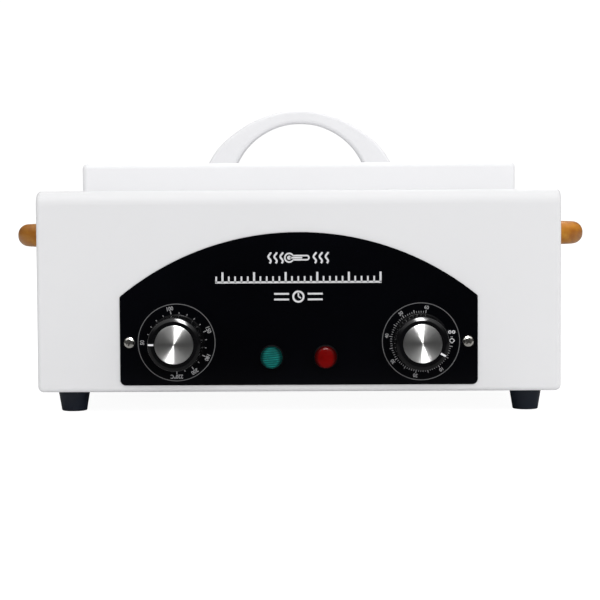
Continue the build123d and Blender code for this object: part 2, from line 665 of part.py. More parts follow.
def terminal_block():
    block = box(BLOCK_X - 18, BLOCK_X + 18, BLOCK_Y - 9, BLOCK_Y + 9, PLATE_TOP, PLATE_TOP + 15)
    block = fillet(block.edges().filter_by(Axis.Z), 2)
    for x in WAYS:
        block -= cyl_y(1.5, BLOCK_Y - 10, BLOCK_Y + 10, x, WIRE_Z)
    for x, y in TERMINALS:
        block -= cyl_z(1.9, WIRE_Z, PLATE_TOP + 16, x, y)
    return block


parts["terminal_block"] = terminal_block()
parts["terminal_screws"] = [
    cyl_z(1.85, PLATE_TOP + 8.6, PLATE_TOP + 12.5, x, y)
    - box(x - 2, x + 2, y - 0.35, y + 0.35, PLATE_TOP + 11.6, PLATE_TOP + 13)
    for x, y in TERMINALS]

# ---- wiring: each path is a list of (x, y, z) -----------------------------
WIRE_R = 1.0
LAMP_WIRE_R = 0.7
LIVE_PATHS = [
    # cord to terminal block
    [(CORD_X - 1.5, 91.8, CORD_Z - 0.9), (CORD_X, 85, 33), (-86, 82, 25), (-58, 84, WIRE_Z),
     (LIVE_X - 1.5, 81.5, WIRE_Z), (LIVE_X, 74, WIRE_Z)],
    # terminal block to thermostat
    [(LIVE_X, 65.5, WIRE_Z), (LIVE_X, 56, WIRE_Z - 1), (-58, 20, 19), (-84, -40, 22),
     (-104, -72, 34), (-104.5, INNER_Y + 10, KNOB_Z), (-101, INNER_Y + 12, KNOB_Z)],
    # thermostat to timer
    [(THERMOSTAT_X + 27.2, INNER_Y + 12, KNOB_Z), (-40, INNER_Y + 19, 41), (-22, -65.5, 36),
     (0, -64, 34), (22, -65.5, 36), (38, INNER_Y + 21, 41),
     (TIMER_X - 30.2, INNER_Y + 14, KNOB_Z)],
    # timer to heater
    [(TIMER_X + 30.2, INNER_Y + 14, KNOB_Z), (108, -70, 42), (108, -40, 38), (105, -14, 48),
     (104, -10, 58), (104, -10, 66), (102.5, -10, 71), (99.3, -10, 72.4)],
]
NEUTRAL_PATHS = [
    # cord to terminal block
    [(CORD_X + 1.5, 91.8, CORD_Z - 0.9), (CORD_X + 6, 86, 36.5), (-86, 88, 33), (-52, 90, 27),
     (NEUTRAL_X - 3, 84, WIRE_Z + 0.5), (NEUTRAL_X, 74, WIRE_Z)],
    # terminal block to heater
    [(NEUTRAL_X, 65.5, WIRE_Z), (NEUTRAL_X + 1, 56, WIRE_Z), (0, 40, 21), (60, 24, 24),
     (98, 14, 40), (104, 10, 56), (104, 10, 66), (102.5, 10, 71), (99.3, 10, 72.4)],
]
LAMP_PATHS = [
    # green lamp to terminal block
    [(-LAMP_X, PANEL_Y + 24.1, LAMP_Z), (-LAMP_X - 0.2, PANEL_Y + 25.6, LAMP_Z - 0.3),
     (-LAMP_X - 3, PANEL_Y + 28, LAMP_Z - 3), (-LAMP_X - 4, -60, 26), (-26, -10, 20),
     (-28, 40, 19.5), (NEUTRAL_X - 1, 57, WIRE_Z - 4.2), (NEUTRAL_X - 1.5, 59.5, WIRE_Z - 4.2)],
    # red lamp to timer
    [(LAMP_X, PANEL_Y + 24.1, LAMP_Z), (LAMP_X + 0.3, PANEL_Y + 25.6, LAMP_Z - 0.2),
     (LAMP_X + 4, PANEL_Y + 27, LAMP_Z - 2), (LAMP_X + 18, INNER_Y + 24, 32),
     (TIMER_X - 33, INNER_Y + 20, 34), (TIMER_X - 31, INNER_Y + 14, KNOB_Z - 4)],
]
EARTH_CORD_PATH = [
    (CORD_X, 91.8, CORD_Z + 1.7), (CORD_X + 9, 88, 41), (-84, 93, 41), (-40, 94, 33),
    (EARTH_WAY_X - 2, 86, WIRE_Z + 2), (EARTH_WAY_X, 74, WIRE_Z)]
EARTH_LUG_PATH = [
    (EARTH_WAY_X, 65.5, WIRE_Z), (EARTH_WAY_X + 1, 58.5, WIRE_Z), (-6, 55.5, 20),
    (14, 60, 17.2), (26, 74, 16.4), (31, 79, PLATE_TOP + 1.05)]


def earth_lug():
    # ring with a short tongue towards the wire
    lug = cyl_z(4.0, PLATE_TOP, PLATE_TOP + 1.0, EARTH_X, EARTH_Y)
    lug += Pos(EARTH_X - 2.8, EARTH_Y - 2.8, PLATE_TOP + 0.5) * (Rot(0, 0, 45) * Box(8, 3, 1.0))
    return lug - cyl_z(1.6, PLATE_TOP - 1, PLATE_TOP + 3, EARTH_X, EARTH_Y)


parts["live_wiring"] = [curved_wire(path, WIRE_R) for path in LIVE_PATHS]
parts["neutral_wiring"] = [curved_wire(path, WIRE_R) for path in NEUTRAL_PATHS]
parts["lamp_wiring"] = [curved_wire(path, LAMP_WIRE_R) for path in LAMP_PATHS]
parts["earth_wire"] = [curved_wire(EARTH_CORD_PATH, WIRE_R),
                       curved_wire(EARTH_LUG_PATH, WIRE_R) + earth_lug()]
parts["earth_screw"] = upright_screw(1.48, 3.0, 2.0, PLATE_TOP + 1.0, 4.5, EARTH_X, EARTH_Y,
                                     up=False)

# ---- mains cord -----------------------------------------------------------
HANK_Y = BACK_Y + 56.0      # hank centre line
HANK_END_R = 12.0           # end radius, also half the hank's depth
HANK_STRAIGHT = 60.0        # half straight length
HANK_X = HANK_STRAIGHT + HANK_END_R
HANK_Z0 = 5.4
PITCH = 7.4                 # rise per turn
TURNS = 3
PLUG_X, PLUG_Y, PLUG_Z = 104.0, HANK_Y - 5.0, 19.6
HANK_Z1 = HANK_Z0 + TURNS * PITCH
TIE_REACH = HANK_END_R + 5.6


def cord_strain_relief():
    bore = CORD_R + 0.06
    relief = turned_y([         # (radius, y from the case back)
        (bore, -5.5), (5.6, -5.5), (7.4, -3.4), (7.4, -SHEET), (6.1, -SHEET), (6.1, 0),
        (9.0, 0), (9.0, 2.2), (8.2, 3.0), (6.0, 3.0), (5.7, 6), (4.9, 22), (bore, 22)],
        CORD_X, BACK_Y, CORD_Z)
    # flexing notches, above and below
    for i in range(4):
        y = BACK_Y + 7 + 3.6 * i
        for side in SIDES:
            relief -= box(CORD_X - 8, CORD_X + 8, y, y + 1.4,
                          CORD_Z + side * 4.3, CORD_Z + side * 8)
    return relief


def power_cord():
    # out of the case, round the rising turns of the hank, then to the plug
    near_y, far_y = HANK_Y - HANK_END_R, HANK_Y + HANK_END_R
    long_run, short_run = 2 * HANK_X, 2 * HANK_END_R
    lap = 2 * (long_run + short_run)
    points = [(CORD_X, BACK_Y - 7.5, CORD_Z), (CORD_X, BACK_Y + 35, CORD_Z),
              (CORD_X + 9, near_y, HANK_Z0 + 0.2)]
    z = HANK_Z0
    for _ in range(TURNS):
        for x, y, run in ((HANK_X, near_y, long_run), (HANK_X, far_y, short_run),
                          (-HANK_X, far_y, long_run), (-HANK_X, near_y, short_run)):
            z += PITCH * run / lap
            points.append((x, y, z))
    points += [(HANK_STRAIGHT - 2, near_y, z + 3.8), (PLUG_X - 16, PLUG_Y, PLUG_Z),
               (PLUG_X + 8, PLUG_Y, PLUG_Z)]
    return bent_rod(points, CORD_R, HANK_END_R - 0.1)


def cord_tie():
    top = HANK_Z1 + CORD_R + 4.4
    tie = box(-5, 5, HANK_Y - TIE_REACH, HANK_Y + TIE_REACH, 0.5, top)
    tie = fillet(tie.edges().filter_by(Axis.X), 3.4)
    hollow_y = TIE_REACH - 1.2
    hollow = box(-6, 6, HANK_Y - hollow_y, HANK_Y + hollow_y, 1.7, top - 1.2)
    return tie - fillet(hollow.edges().filter_by(Axis.X), 2.2)


PLUG_PROFILE = [            # (x from PLUG_X, radius)
    (-12, CORD_R + 0.06), (-12, 4.6), (2, 6.2), (4, 11.5), (8, 15.0), (13, 16.0), (22, 16.4),
    (26, 18.6), (36, 19.0), (37, 18.4), (37, 0), (9, 0), (9, CORD_R + 0.06)]
PIN_YS = [PLUG_Y + side * 9.5 for side in SIDES]


def mains_plug():
    plug = turned_x(PLUG_PROFILE, PLUG_X, PLUG_Y, PLUG_Z)
    for side in SIDES:
        plug -= box(PLUG_X + 24, PLUG_X + 40, PLUG_Y + side * 16.6, PLUG_Y + side * 22,
                    PLUG_Z - 5, PLUG_Z + 5)
    # grip grooves
    for i in range(10):
        angle = math.radians(36 * i + 18)
        plug -= cyl_x(1.3, PLUG_X + 10, PLUG_X + 22.5, PLUG_Y + 17.0 * math.cos(angle),
                      PLUG_Z + 17.0 * math.sin(angle))
    for y in PIN_YS:
        plug -= cyl_x(2.4, PLUG_X + 25, PLUG_X + 38, y, PLUG_Z)
    return plug


def plug_pin(y):
    pin = cyl_x(2.38, PLUG_X + 25.1, PLUG_X + 56, y, PLUG_Z)
    return fillet(pin.edges().group_by(Axis.X)[-1], 1.6)


parts["cord_strain_relief"] = cord_strain_relief()
parts["power_cord"] = power_cord()
parts["cord_tie"] = cord_tie()
parts["mains_plug"] = mains_plug()
parts["plug_pins"] = [plug_pin(y) for y in PIN_YS]

# ---- write the pieces -----------------------------------------------------
SHIFT_Y = -(KNOB_FRONT_Y - CAP_PROUD + HANK_Y + TIE_REACH) / 2


def solids_of(piece):
    if isinstance(piece, (list, tuple)):
        return [solid for item in piece for solid in solids_of(item)]
    return list(piece.solids())


for name, piece in parts.items():
    solids = [Pos(0, SHIFT_Y, 0) * solid for solid in solids_of(piece)]
    whole = solids[0] if len(solids) == 1 else Compound(solids)
    whole.label = name
    export_step(whole, f"parts/{name}.step")
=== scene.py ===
"""Looks and studio for a white coated heating cabinet with a lid, an inner tank, amber side
handles and a black control panel that carries two knobs and two pilot lamps.

The cabinet stands on z = 0 with its control panel towards -Y; +X is right as seen from the front.
Modelled lengths are in millimetres and turn into metres through MM; materials, lights and the
camera are in metres.
"""

import json
import math

import bpy
import bmesh
from mathutils import Matrix, Vector


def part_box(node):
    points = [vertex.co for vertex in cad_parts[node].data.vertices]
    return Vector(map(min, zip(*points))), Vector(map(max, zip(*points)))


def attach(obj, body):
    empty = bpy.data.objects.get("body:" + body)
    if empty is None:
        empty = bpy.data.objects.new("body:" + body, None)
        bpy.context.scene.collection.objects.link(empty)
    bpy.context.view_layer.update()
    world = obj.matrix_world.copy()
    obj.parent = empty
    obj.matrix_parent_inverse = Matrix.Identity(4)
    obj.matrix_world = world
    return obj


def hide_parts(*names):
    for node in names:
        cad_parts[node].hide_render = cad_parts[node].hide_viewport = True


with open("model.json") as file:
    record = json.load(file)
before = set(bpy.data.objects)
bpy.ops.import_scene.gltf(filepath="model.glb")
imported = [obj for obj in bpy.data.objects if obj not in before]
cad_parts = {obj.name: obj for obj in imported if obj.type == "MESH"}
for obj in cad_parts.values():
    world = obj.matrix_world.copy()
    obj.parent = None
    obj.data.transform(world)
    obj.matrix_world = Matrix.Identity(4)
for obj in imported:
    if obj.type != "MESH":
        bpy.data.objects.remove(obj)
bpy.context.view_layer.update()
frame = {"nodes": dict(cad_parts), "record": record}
parts = frame["nodes"]
scene = bpy.context.scene

MM = 0.001
ROOT = "cabinet"

# ridges across the green lens, shared by its mesh and the painted highlights on their crests
RIDGE_PITCH = 1.35
RIDGE_SLANT = 0.09


# ---------------------------------------------------------------- node helpers
class Nodes:
    """Short calls that add nodes to a tree; most return an output socket."""

    def __init__(self, tree):
        self.tree = tree

    def feed(self, socket, value):
        """Link a socket, or set its value; None leaves it alone."""
        if isinstance(value, bpy.types.NodeSocket):
            self.tree.links.new(value, socket)
        elif value is not None:
            socket.default_value = (*value, 1) if socket.type == "RGBA" else value

    def add(self, kind, *values, **named):
        """Add a node and return its outputs. Values fill inputs in order, names fill inputs
        by name, and names that start with an underscore set properties."""
        node = self.tree.nodes.new(kind)
        for key, value in named.items():
            if key.startswith("_"):
                setattr(node, key[1:], value)
            else:
                self.feed(node.inputs[key], value)
        for socket, value in zip(node.inputs, values):
            self.feed(socket, value)
        return node.outputs

    def math(self, operation, *values):
        return self.add("ShaderNodeMath", *values, _operation=operation)[0]

    def times(self, a, b):
        return self.math("MULTIPLY", a, b)

    def plus(self, a, b):
        return self.math("ADD", a, b)

    def vary(self, factor, low, span):
        """low where the factor is 0, low + span where it is 1."""
        return self.math("MULTIPLY_ADD", factor, span, low)

    def weigh(self, a, share_a, b, share_b):
        return self.plus(self.times(a, share_a), self.times(b, share_b))

    def radius(self, a, b):
        return self.math("SQRT", self.plus(self.times(a, a), self.times(b, b)))

    def map_range(self, value, from_min, from_max, to_min, to_max):
        return self.add("ShaderNodeMapRange", value, from_min, from_max, to_min, to_max)[0]

    def ramp(self, factor, *stops):
        """Colour ramp through (position, colour) stops, in rising order."""
        node = self.tree.nodes.new("ShaderNodeValToRGB")
        self.feed(node.inputs[0], factor)
        elements = node.color_ramp.elements
        for element, (position, colour) in zip(elements, (stops[0], stops[-1])):
            element.position = position
            element.color = (*colour, 1)
        for position, colour in stops[1:-1]:
            elements.new(position).color = (*colour, 1)
        return node.outputs[0]

    def fade(self, factor, low=0.3, high=0.7, start=0.0, end=1.0):
        """Grey ramp from start at low to end at high."""
        return self.ramp(factor, (low, (start,) * 3), (high, (end,) * 3))

    def xyz(self, vector):
        return self.add("ShaderNodeSeparateXYZ", vector)


PRINCIPLED = {
    "base": "Base Color", "metal": "Metallic", "rough": "Roughness",
    "spec": "Specular IOR Level", "ior": "IOR", "coat_rough": "Coat Roughness",
    "trans": "Transmission Weight", "emit": "Emission Color", "emit_s": "Emission Strength",
    "aniso": "Anisotropic", "rot": "Anisotropic Rotation", "sheen": "Sheen Weight",
    "sheen_rough": "Sheen Roughness", "normal": "Normal", "tangent": "Tangent",
}


class Mat(Nodes):
    """A material on the Principled shader, patterned in object space."""

    def __init__(self, name, **inputs):
        self.material = bpy.data.materials.new(name)
        self.material.use_nodes = True
        super().__init__(self.material.node_tree)
        self.shader = self.tree.nodes["Principled BSDF"]
        self.object_space = self.add("ShaderNodeTexCoord")["Object"]
        self.put(**inputs)

    def put(self, **inputs):
        for key, value in inputs.items():
            self.feed(self.shader.inputs[PRINCIPLED[key]], value)
        return self.material

    def noise(self, scale, detail=3.0, rough=0.5, vector=None, distort=0.0, stretch=None):
        if vector is None:
            vector = self.object_space
        if stretch:
            vector = self.add("ShaderNodeVectorMath", vector, stretch, _operation="MULTIPLY")[0]
        return self.add("ShaderNodeTexNoise", Vector=vector, Scale=scale, Detail=detail,
                        Roughness=rough, Distortion=distort)[0]

    def wave(self, scale, distort, direction):
        return self.add("ShaderNodeTexWave", Vector=self.object_space, Scale=scale,
                        Distortion=distort, _bands_direction=direction)[0]

    def bump(self, height, distance, strength, normal=None):
        return self.add("ShaderNodeBump", Height=height, Distance=distance, Strength=strength,
                        Normal=normal)[0]

    def mix(self, factor, first, second):
        node = self.tree.nodes.new("ShaderNodeMix")
        node.data_type = "RGBA"
        # 6 and 7 are the colour inputs
        for index, value in ((0, factor), (6, first), (7, second)):
            self.feed(node.inputs[index], value)
        return node.outputs[2]

    def mottle(self, factor, dark, light, low=0.3, high=0.7):
        return self.mix(self.fade(factor, low, high), dark, light)

    def edge_mask(self, width):
        """1 on convex edges, where the bevelled normal differs from the true one."""
        bevel = self.tree.nodes.new("ShaderNodeBevel")
        bevel.samples = 4
        bevel.inputs["Radius"].default_value = width
        true_normal = self.add("ShaderNodeNewGeometry")["Normal"]
        agreement = self.add("ShaderNodeVectorMath", bevel.outputs[0], true_normal,
                             _operation="DOT_PRODUCT")[1]
        return self.fade(agreement, low=0.5, high=0.9, start=1.0, end=0.0)

    def finish(self, base, grain, rough_low, rough_span, distance, strength, under=None):
        """Colour the material and let one grain drive its roughness and its bump."""
        return self.put(base=base, rough=self.vary(grain, rough_low, rough_span),
                        normal=self.bump(grain, distance, strength, under))


def scaled(colour, factor):
    return tuple(c * factor for c in colour)


# ---------------------------------------------------------------- material families
def powder_coat(name, colour, rough=0.36):
    mat = Mat(name, rough=rough, spec=0.5)
    broad = mat.noise(scale=9.0, detail=2.0)
    fine = mat.noise(scale=900.0, detail=2.0, rough=0.55)
    peel = mat.noise(scale=330.0, detail=1.0, rough=0.4)
    height = mat.weigh(peel, 0.7, fine, 0.3)
    return mat.put(base=mat.mottle(broad, dark=scaled(colour, 0.985), light=colour),
                   rough=mat.vary(fine, low=rough - 0.05, span=0.10),
                   normal=mat.bump(height, distance=0.00006, strength=0.35))


def moulded(name, colour, rough=0.3, grain=700.0, bump=0.00003, spec=0.5, vary=0.06):
    mat = Mat(name, spec=spec, coat_rough=0.08)
    light = tuple(min(1, c * (1 + vary)) for c in colour)
    base = mat.mottle(mat.noise(scale=40.0), dark=scaled(colour, 1 - vary), light=light)
    return mat.finish(base, mat.noise(scale=grain, detail=2.0), rough_low=rough - 0.06,
                      rough_span=0.12, distance=bump, strength=0.5)


def brushed(name, colour, rough, line_scale):
    """Metal with brush lines along X and faint smudges."""
    mat = Mat(name, metal=1.0)
    lines = mat.noise(scale=line_scale, rough=0.6, stretch=(0.012, 1.0, 1.0))
    dirt = mat.noise(scale=22.0, detail=4.0, rough=0.6)
    smudge = mat.times(mat.fade(dirt, low=0.4, high=0.75), 0.05)
    return mat.put(base=mat.mottle(lines, scaled(colour, 0.86), colour, low=0.25, high=0.75),
                   rough=mat.plus(mat.vary(lines, low=rough - 0.07, span=0.14), smudge),
                   normal=mat.bump(lines, distance=0.000004, strength=0.5))


def plated(name, colour, rough):
    mat = Mat(name, metal=1.0)
    grain = mat.noise(scale=420.0)
    return mat.finish(mat.mottle(grain, scaled(colour, 0.9), colour), grain,
                      rough_low=rough - 0.04, rough_span=0.12, distance=0.00002, strength=0.4)


def ink(name, level):
    mat = Mat(name, spec=0.35)
    tint = (1.0, 1.0, 1.02)
    grain = mat.noise(scale=1600.0, detail=2.0)
    return mat.put(base=mat.mix(grain, scaled(tint, level * 0.88), scaled(tint, level * 1.05)),
                   rough=0.45, normal=mat.bump(grain, distance=0.00001, strength=0.3))


def lens(name, rim_shade, glow, strength, rough, crest_highlight=None):
    """Lit lens, darker towards its rim and sides as painted shade; the optional crest colour
    paints highlights in broken lines along its ridges.
    """
    mat = Mat(name, spec=0.10)
    grain = mat.noise(scale=900.0, detail=2.0)
    cloud = mat.noise(scale=160.0, detail=2.0)
    rim = mat.add("ShaderNodeLayerWeight", Blend=0.45)["Facing"]
    core = mat.mottle(cloud, dark=scaled(glow, 0.72), light=glow, low=0.35)
    x, _, z = mat.xyz(mat.object_space)
    # painted shade darkens the sides more than the top and bottom, so the glow fills a slightly
    # upright oval of the lens
    oval = mat.math("SQRT", mat.weigh(mat.times(x, x), 1.34, mat.times(z, z), 0.80))
    outer = mat.map_range(oval, from_min=0.0046, from_max=0.0063, to_min=0.0, to_max=1.0)
    # painted shade: the lens darkens towards its rim, by facing and by the oval
    shade = mat.math("MAXIMUM", mat.fade(rim, low=0.30, high=0.95), mat.times(outer, 0.95))
    colour = mat.mix(shade, core, rim_shade)
    # painted highlights: lighter broken lines on the crests of the ridges
    if crest_highlight:
        across = mat.plus(z, mat.times(x, -RIDGE_SLANT))
        line = mat.math("SINE", mat.times(across, 2 * math.pi / (RIDGE_PITCH * MM)))
        crest = mat.fade(mat.vary(line, low=0.5, span=0.5), low=0.55, high=0.95)
        broken = mat.noise(scale=500.0, detail=2.0, stretch=(0.4, 1.0, 1.0))
        top = mat.times(crest, mat.fade(broken, low=0.35, high=0.65, start=0.25))
        inside = mat.math("SUBTRACT", 1.0, mat.times(outer, 0.8))
        colour = mat.mix(mat.times(top, inside), colour, crest_highlight)
    mat.put(emit=colour, emit_s=strength)
    return mat.finish(colour, grain, rough_low=rough, rough_span=0.10, distance=0.00001,
                      strength=0.3)


# ---------------------------------------------------------------- single materials
def control_plate():
    mat = Mat("panel_black_print", spec=0.16)
    base = mat.mottle(mat.noise(scale=14.0),
                      dark=(0.0006, 0.0007, 0.0014), light=(0.0011, 0.0013, 0.0024))
    return mat.finish(base, mat.noise(scale=1400.0, detail=1.0), rough_low=0.14,
                      rough_span=0.08, distance=0.00001, strength=0.3)


def knob_black():
    mat = Mat("knob_black_phenolic", spec=0.34)
    wear = mat.times(mat.edge_mask(width=0.0005), 0.5)
    # one material serves both knobs, so x is measured from the nearer knob axis
    low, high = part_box("temperature_knob")
    x, _, z = mat.xyz(mat.add("ShaderNodeNewGeometry")["Position"])
    from_axis = mat.radius(
        mat.math("SUBTRACT", mat.math("ABSOLUTE", x), abs(low.x + high.x) / 2),
        mat.math("SUBTRACT", z, (low.z + high.z) / 2))
    # the outer half of the front ring falls away as a shallow cone
    steep = mat.map_range(from_axis, from_min=0.0138, from_max=0.0147,
                          to_min=0.0, to_max=-0.00054)
    easy = mat.map_range(from_axis, from_min=0.0147, from_max=0.0152,
                         to_min=0.0, to_max=-0.00017)
    cone = mat.bump(mat.plus(steep, easy), distance=1.0, strength=1.0)
    body = mat.mix(mat.noise(scale=60.0), (0.0012, 0.0012, 0.0016), (0.0028, 0.0028, 0.0034))
    return mat.finish(mat.mix(wear, body, (0.012, 0.012, 0.013)),
                      mat.noise(scale=800.0, detail=2.0), rough_low=0.15, rough_span=0.08,
                      distance=0.00002, strength=0.3, under=cone)


def lamp_bezel():
    mat = Mat("lamp_bezel_black", spec=0.07)
    base = mat.mottle(mat.noise(scale=90.0),
                      dark=(0.0022, 0.0022, 0.0026), light=(0.0042, 0.0042, 0.0048))
    return mat.finish(base, mat.noise(scale=700.0, detail=2.0), rough_low=0.38,
                      rough_span=0.15, distance=0.00003, strength=0.4)


def amber_bakelite():
    mat = Mat("amber_bakelite", spec=0.20)
    x = mat.xyz(mat.object_space)[0]
    swirl = mat.noise(scale=26.0, detail=5.0, rough=0.6, distort=1.4, stretch=(1.0, 0.35, 1.6))
    fleck = mat.noise(scale=240.0, rough=0.6, stretch=(1.0, 0.18, 1.0))
    colour = mat.ramp(mat.weigh(swirl, 0.72, fleck, 0.28),
                      (0.30, (0.235, 0.068, 0.009)), (0.48, (0.375, 0.148, 0.015)),
                      (0.62, (0.490, 0.238, 0.028)), (0.78, (0.28, 0.085, 0.012)))
    # painted shade: the left handle is painted darker, standing in for light that falls from the
    # right
    left_handle_shade = mat.times(mat.math("LESS_THAN", x, 0.0), 0.20)
    return mat.finish(mat.mix(left_handle_shade, colour, (0.20, 0.045, 0.010)), fleck, rough_low=0.24,
                      rough_span=0.16, distance=0.00004, strength=0.4)


def rubber_foot():
    mat = Mat("rubber_foot", spec=0.38)
    wear = mat.times(mat.edge_mask(width=0.0007), 0.5)
    body = mat.mottle(mat.noise(scale=70.0),
                      dark=(0.0070, 0.0110, 0.0205), light=(0.0105, 0.0155, 0.0285))
    return mat.finish(mat.mix(wear, body, (0.045, 0.05, 0.06)), mat.noise(scale=520.0),
                      rough_low=0.42, rough_span=0.2, distance=0.00006, strength=0.5)


def galvanised_sheet():
    """Zinc with spangles that differ in tone and gloss."""
    mat = Mat("galvanised_sheet", metal=1.0)
    colour = (0.56, 0.58, 0.60)
    spangle = mat.add("ShaderNodeTexVoronoi", Vector=mat.object_space, Scale=70.0)["Color"]
    tone = mat.add("ShaderNodeSeparateColor", spangle)[0]
    return mat.put(base=mat.mottle(tone, scaled(colour, 0.78), colour, low=0.0, high=1.0),
                   rough=mat.vary(tone, low=0.30, span=0.18),
                   normal=mat.bump(mat.noise(scale=420.0), distance=0.00002, strength=0.4))


def mica_laminate():
    mat = Mat("mica_laminate", spec=0.5)
    bands = mat.wave(scale=60.0, distort=0.4, direction="X")
    return mat.put(base=mat.mottle(bands, dark=(0.40, 0.35, 0.27), light=(0.56, 0.51, 0.42),
                                   low=0.45, high=0.6),
                   rough=mat.vary(mat.noise(scale=300.0), low=0.25, span=0.3),
                   normal=mat.bump(bands, distance=0.0001, strength=0.4))


def earth_sleeve():
    """Yellow and green stripes."""
    mat = Mat("wire_earth", spec=0.4, rough=0.36)
    stripes = mat.fade(mat.wave(scale=55.0, distort=0.0, direction="DIAGONAL"), 0.48, 0.52)
    grain = mat.noise(scale=500.0, detail=2.0)
    return mat.put(base=mat.mix(stripes, (0.72, 0.60, 0.03), (0.03, 0.28, 0.06)),
                   normal=mat.bump(grain, distance=0.00002, strength=0.4))


def glass_fibre():
    mat = Mat("glass_fibre_mat", spec=0.2, sheen=0.4, sheen_rough=0.4)
    clumps = mat.noise(scale=120.0, detail=6.0, rough=0.7, distort=2.0)
    strands = mat.noise(scale=700.0, detail=4.0, rough=0.7, distort=3.0)
    fibres = mat.weigh(clumps, 0.6, strands, 0.4)
    base = mat.ramp(fibres, (0.3, (0.60, 0.56, 0.42)), (0.55, (0.78, 0.75, 0.62)),
                    (0.75, (0.88, 0.86, 0.78)))
    return mat.put(base=base, rough=0.95, normal=mat.bump(fibres, distance=0.0009, strength=0.8))


def bulb_glass():
    mat = Mat("neon_bulb_glass", rough=0.03, trans=0.9, ior=1.5, spec=0.5)
    tint = mat.noise(scale=200.0, detail=2.0)
    return mat.put(base=mat.mix(tint, (0.96, 0.86, 0.78), (0.90, 0.78, 0.70)))


def spun_aluminium():
    """Turned metal: fine rings about the Y axis, and streaks that run outwards."""
    mat = Mat("spun_aluminium", metal=1.0, aniso=1.0, rot=0.25)
    x, _, z = mat.xyz(mat.object_space)
    radius = mat.radius(x, z)
    ring_space = mat.add("ShaderNodeCombineXYZ", mat.times(radius, 1.0))[0]
    lines = mat.noise(scale=5200.0, rough=0.7, vector=ring_space)
    angle = mat.math("ARCTAN2", z, x)
    streak_space = mat.add("ShaderNodeCombineXYZ", mat.times(angle, 1.0),
                           mat.times(radius, 60.0))[0]
    streak = mat.noise(scale=6.0, detail=4.0, rough=0.6, vector=streak_space)
    tangent = mat.add("ShaderNodeTangent", _direction_type="RADIAL", _axis="Y")[0]
    return mat.put(base=mat.mottle(lines, dark=(0.70, 0.70, 0.69), light=(0.86, 0.86, 0.85)),
                   rough=mat.plus(mat.times(lines, 0.06), mat.vary(streak, low=0.40, span=0.08)),
                   tangent=tangent, normal=mat.bump(lines, distance=0.000006, strength=0.5))


# keyed by material slot
materials = {
    "powder_coat": powder_coat("powder_coat_white", (0.765, 0.765, 0.773)),
    # painted light: the lid has the cabinet's white coat, painted lighter to stand in for the
    # brighter light that falls on it
    "lid_coat_lit": powder_coat("powder_coat_lid_lit", (0.872, 0.872, 0.884)),
    "white_plastic": moulded("white_moulding", (0.815, 0.815, 0.828), grain=500.0,
                             vary=0.012, bump=0.00002),
    "panel_black": control_plate(),
    "knob_black": knob_black(),
    "lamp_bezel": lamp_bezel(),
    "amber_bakelite": amber_bakelite(),
    "rubber": rubber_foot(),
    "nickel": plated("nickel_plate", (0.80, 0.78, 0.73), rough=0.14),
    "zinc": plated("zinc_plate", (0.66, 0.67, 0.66), rough=0.26),
    "brass": plated("brass_bright", (0.72, 0.52, 0.22), rough=0.22),
    "copper": plated("copper_drawn", (0.70, 0.36, 0.20), rough=0.24),
    "galvanised": galvanised_sheet(),
    "stainless": brushed("stainless_brushed", (0.72, 0.72, 0.73), rough=0.36,
                         line_scale=1040.0),
    "stainless_tank": brushed("stainless_tank", (0.66, 0.66, 0.67), rough=0.40,
                              line_scale=800.0),
    "stainless_wire": plated("stainless_wire", (0.70, 0.70, 0.70), rough=0.17),
    "black_nylon": moulded("black_nylon", (0.010, 0.010, 0.011), rough=0.45, grain=600.0,
                           bump=0.00005, spec=0.25, vary=0.2),
    "grey_nylon": moulded("grey_nylon", (0.30, 0.31, 0.31), rough=0.45),
    "cord_black": moulded("cord_black_pvc", (0.013, 0.013, 0.014), rough=0.40, grain=900.0,
                          bump=0.00004, spec=0.42, vary=0.25),
    "wire_brown": moulded("wire_brown", (0.17, 0.065, 0.03), rough=0.35),
    "wire_blue": moulded("wire_blue", (0.03, 0.10, 0.42), rough=0.35),
    "wire_white": moulded("wire_white", (0.72, 0.72, 0.69), rough=0.4, vary=0.02),
    "ceramic": moulded("ceramic_steatite", (0.80, 0.78, 0.71), rough=0.25, grain=300.0,
                       vary=0.02),
    "mica": mica_laminate(),
    "wire_earth": earth_sleeve(),
    "glass_fibre": glass_fibre(),
    # lens colours glow by emission; the rim colours are painted shade and the green ridge colour
    # is painted highlight
    "green_lens": lens("lens_green", rim_shade=(0.0003, 0.012, 0.011), glow=(0.0006, 0.058, 0.052),
                       strength=0.5, rough=0.34, crest_highlight=(0.004, 0.150, 0.132)),
    "red_lens": lens("lens_red", rim_shade=(0.024, 0.0002, 0.0002), glow=(0.100, 0.0003, 0.0001),
                     strength=0.6, rough=0.16),
    "lamp_glass": bulb_glass(),
    "ink_white": ink("print_white", level=0.66),
    "ink_grey": ink("print_grey", level=0.34),
    "ink_ring": ink("print_ring", level=0.13),
    "ink_pointer": ink("pointer_paint", level=0.80),
    "spun_aluminium": spun_aluminium(),
}

# parts whose material differs from their recorded slot
OVERRIDES = {
    "green_lamp_body": "lamp_bezel", "red_lamp_body": "lamp_bezel", "lid_shell": "lid_coat_lit",
    "inner_tank": "stainless_tank", "tray_handles": "stainless_wire",
}
recorded_slot = {sub["node"]: sub["material_slot"] for sub in frame["record"]["subparts"]}
for name, part in parts.items():
    part.data.materials.clear()
    part.data.materials.append(materials[OVERRIDES.get(name) or recorded_slot[name]])


# ---------------------------------------------------------------- mesh helpers
def link(name, mesh, material, body, location=(0, 0, 0)):
    obj = bpy.data.objects.new(name, mesh)
    obj.location = location
    scene.collection.objects.link(obj)
    mesh.materials.clear()
    mesh.materials.append(materials[material])
    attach(obj, body)
    return obj


def to_mesh(name, shape, recalc=True):
    if recalc:
        bmesh.ops.recalc_face_normals(shape, faces=shape.faces)
    mesh = bpy.data.meshes.new(name)
    shape.to_mesh(mesh)
    shape.free()
    return mesh


